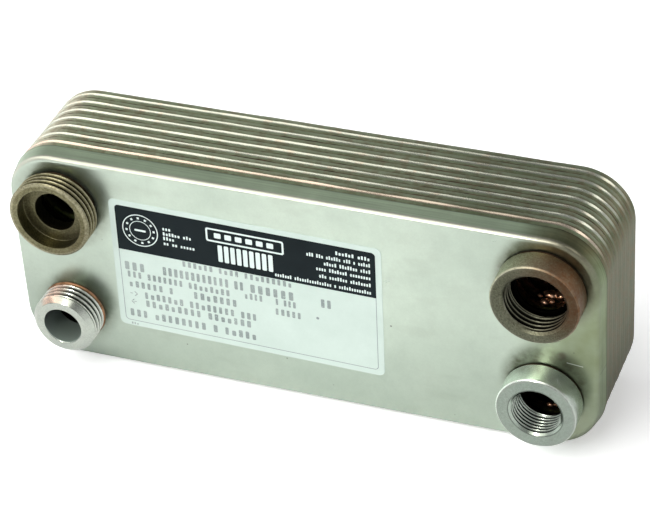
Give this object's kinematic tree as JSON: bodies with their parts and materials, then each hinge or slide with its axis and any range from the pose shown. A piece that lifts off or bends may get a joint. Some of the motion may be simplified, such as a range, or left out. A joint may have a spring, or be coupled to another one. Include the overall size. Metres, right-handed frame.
{
  "type": "plate heat exchanger",
  "caption": "Brazed plate heat exchanger: a pack of nested herringbone plates between two covers, with male and female threaded port fittings on the front.",
  "frame": {"origin": "centre of the rear cover's flat outer face", "axes": "+X along the long side, +Z across the short side and up as the object stands on its long edge, +Y out of the rear cover, so the ports point along -Y"},
  "size_m": [0.1894, 0.0477, 0.0764],
  "materials": {
    "cover_steel": "satin",
    "plate_steel": "satin",
    "copper_braze": "satin",
    "tinted_steel": "satin",
    "bright_steel": "polished",
    "label_film": "gloss"
  },
  "bodies": {
    "root": {"front_cover": "cover_steel", "rear_cover": "cover_steel", "plate_01": "plate_steel", "plate_02": "plate_steel", "plate_03": "plate_steel", "plate_04": "plate_steel", "plate_05": "plate_steel", "plate_06": "plate_steel", "plate_07": "plate_steel", "plate_08": "plate_steel", "plate_09": "plate_steel", "plate_10": "plate_steel", "plate_11": "plate_steel", "plate_12": "plate_steel", "plate_13": "plate_steel", "plate_14": "plate_steel", "braze_seam_01": "copper_braze", "braze_seam_02": "copper_braze", "braze_seam_03": "copper_braze", "braze_seam_04": "copper_braze", "braze_seam_05": "copper_braze", "braze_seam_06": "copper_braze", "braze_seam_07": "copper_braze", "braze_seam_08": "copper_braze", "braze_seam_09": "copper_braze", "braze_seam_10": "copper_braze", "braze_seam_11": "copper_braze", "braze_seam_12": "copper_braze", "braze_seam_13": "copper_braze", "braze_seam_14": "copper_braze", "braze_seam_rear": "copper_braze", "braze_ring_heating_inlet": "copper_braze", "braze_ring_domestic_inlet": "copper_braze", "braze_ring_heating_outlet": "copper_braze", "braze_ring_domestic_outlet": "copper_braze", "heating_inlet_fitting": "tinted_steel", "heating_outlet_fitting": "tinted_steel", "domestic_inlet_fitting": "bright_steel", "domestic_outlet_fitting": "bright_steel", "label": "label_film"}
  },
  "joints": []
}
